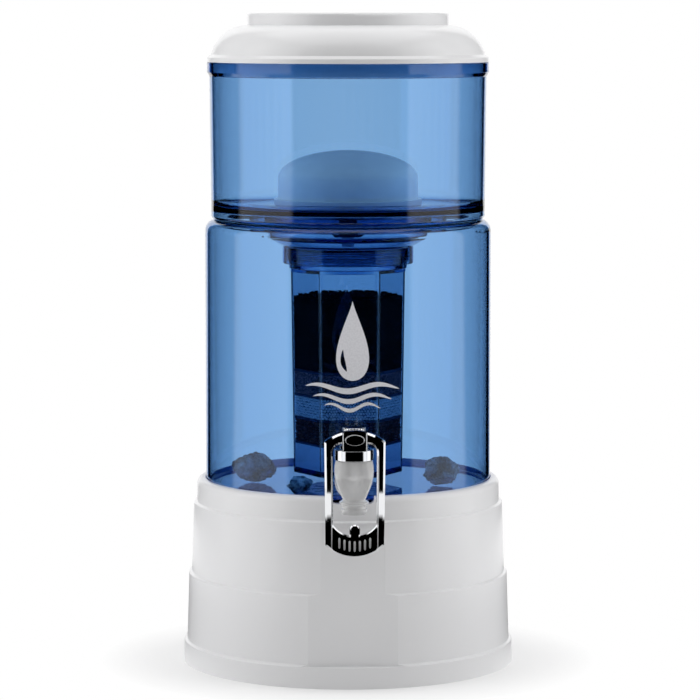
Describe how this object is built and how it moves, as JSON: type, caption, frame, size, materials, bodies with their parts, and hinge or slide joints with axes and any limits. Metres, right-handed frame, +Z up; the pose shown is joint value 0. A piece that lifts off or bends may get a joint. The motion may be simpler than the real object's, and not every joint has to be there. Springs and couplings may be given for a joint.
{
  "type": "gravity water filter with tap",
  "caption": "Countertop gravity water filter: white stand, two stacked clear blue tanks, ceramic dome, layered hexagonal cartridge, domed lid and a push-lever tap.",
  "frame": {"origin": "on the tanks' axis in the plane of the stand's foot ring", "axes": "+Z up along the tanks' axis, -Y towards the tap at the front, +X to the right seen from the front"},
  "size_m": [0.266, 0.3045, 0.5203],
  "materials": {
    "stand_plastic": "glossy white moulded plastic",
    "lid_plastic": "glossy white moulded plastic",
    "tank_plastic": "clear blue moulded plastic",
    "ceramic": "fine matte ceramic",
    "dome_plate_plastic": "white plastic",
    "nut_plastic": "dark blue plastic",
    "holder_plastic": "clear blue plastic",
    "cap_plastic": "clear blue plastic",
    "jar_plastic": "clear blue plastic",
    "divider_plastic": "dark plastic",
    "polishing_balls": "bed of fine pale balls",
    "tourmaline_balls": "bed of dark red ceramic balls",
    "ceramic_balls": "bed of pale ceramic balls",
    "mineral_grains": "bed of dark mineral grains",
    "activated_carbon": "bed of black carbon granules",
    "stone": "rough stone",
    "nozzle_plastic": "clear moulded plastic",
    "tap_plastic": "white plastic",
    "chromed_plastic": "bright chrome plating on plastic",
    "steel": "stainless steel",
    "rubber_seal": "food-grade soft seal"
  },
  "bodies": {
    "stand": {"base_stand": "stand_plastic"},
    "lower_tank": {"lower_tank": "tank_plastic", "mineral_stone_1": "stone", "mineral_stone_2": "stone", "mineral_stone_3": "stone", "tap_body": "nozzle_plastic", "tap_outer_washer": "rubber_seal", "tap_inner_washer": "rubber_seal", "tap_lock_nut": "tap_plastic", "tap_collar": "chromed_plastic", "tap_bonnet": "tap_plastic", "bonnet_seal": "rubber_seal", "stem_seal": "rubber_seal"},
    "upper_tank": {"upper_tank": "tank_plastic", "ceramic_dome": "ceramic", "dome_plate": "dome_plate_plastic", "dome_gasket": "rubber_seal", "dome_wing_nut": "nut_plastic", "filter_holder": "holder_plastic", "holder_gasket": "rubber_seal"},
    "lid": {"lid": "lid_plastic"},
    "cartridge_seal": {"cartridge_gasket": "rubber_seal"},
    "cartridge": {"cartridge_cap": "cap_plastic", "cartridge_jar": "jar_plastic", "cartridge_foot": "cap_plastic", "polishing_bed": "polishing_balls", "tourmaline_bed": "tourmaline_balls", "ceramic_ball_bed": "ceramic_balls", "mineral_bed": "mineral_grains", "carbon_bed": "activated_carbon", "divider_1": "divider_plastic", "divider_2": "divider_plastic", "divider_3": "divider_plastic", "divider_4": "divider_plastic"},
    "tap_lever": {"push_lever": "chromed_plastic", "hinge_pin": "steel"},
    "valve": {"valve_stem": "steel", "valve_plug": "rubber_seal", "stem_crown": "chromed_plastic", "valve_spring": "steel"}
  },
  "joints": [
    {"name": "lower_tank_lift", "type": "slide", "parent": "stand", "child": "lower_tank", "axis": [0, 0, 1], "range_m": [0, 0.06]},
    {"name": "upper_tank_lift", "type": "slide", "parent": "lower_tank", "child": "upper_tank", "axis": [0, 0, 1], "range_m": [0, 0.22]},
    {"name": "lid_lift", "type": "slide", "parent": "upper_tank", "child": "lid", "axis": [0, 0, 1], "range_m": [0, 0.12]},
    {"name": "cartridge_drop", "type": "slide", "parent": "upper_tank", "child": "cartridge_seal", "axis": [0, 0, -1], "range_m": [0, 0.0046]},
    {"name": "cartridge_turn", "type": "hinge", "parent": "cartridge_seal", "child": "cartridge", "pos_m": [0, 0, 0.325], "axis": [0, 0, -1], "range_deg": [0, 540]},
    {"name": "lever_push", "type": "hinge", "parent": "lower_tank", "child": "tap_lever", "pos_m": [0, -0.166, 0.199], "axis": [1, 0, 0], "range_deg": [0, 14], "stiffness_Nm_per_rad": 0.6, "springref_deg": -8.59},
    {"name": "valve_lift", "type": "slide", "parent": "lower_tank", "child": "valve", "axis": [0, 0, 1], "range_m": [0, 0.0044], "deforming": ["valve_spring"]}
  ],
  "couplings": [
    {"joint": "cartridge_drop", "follows": "cartridge_turn", "m_per_rad": 0.00047746},
    {"joint": "valve_lift", "follows": "lever_push", "m_per_rad": 0.0175}
  ]
}
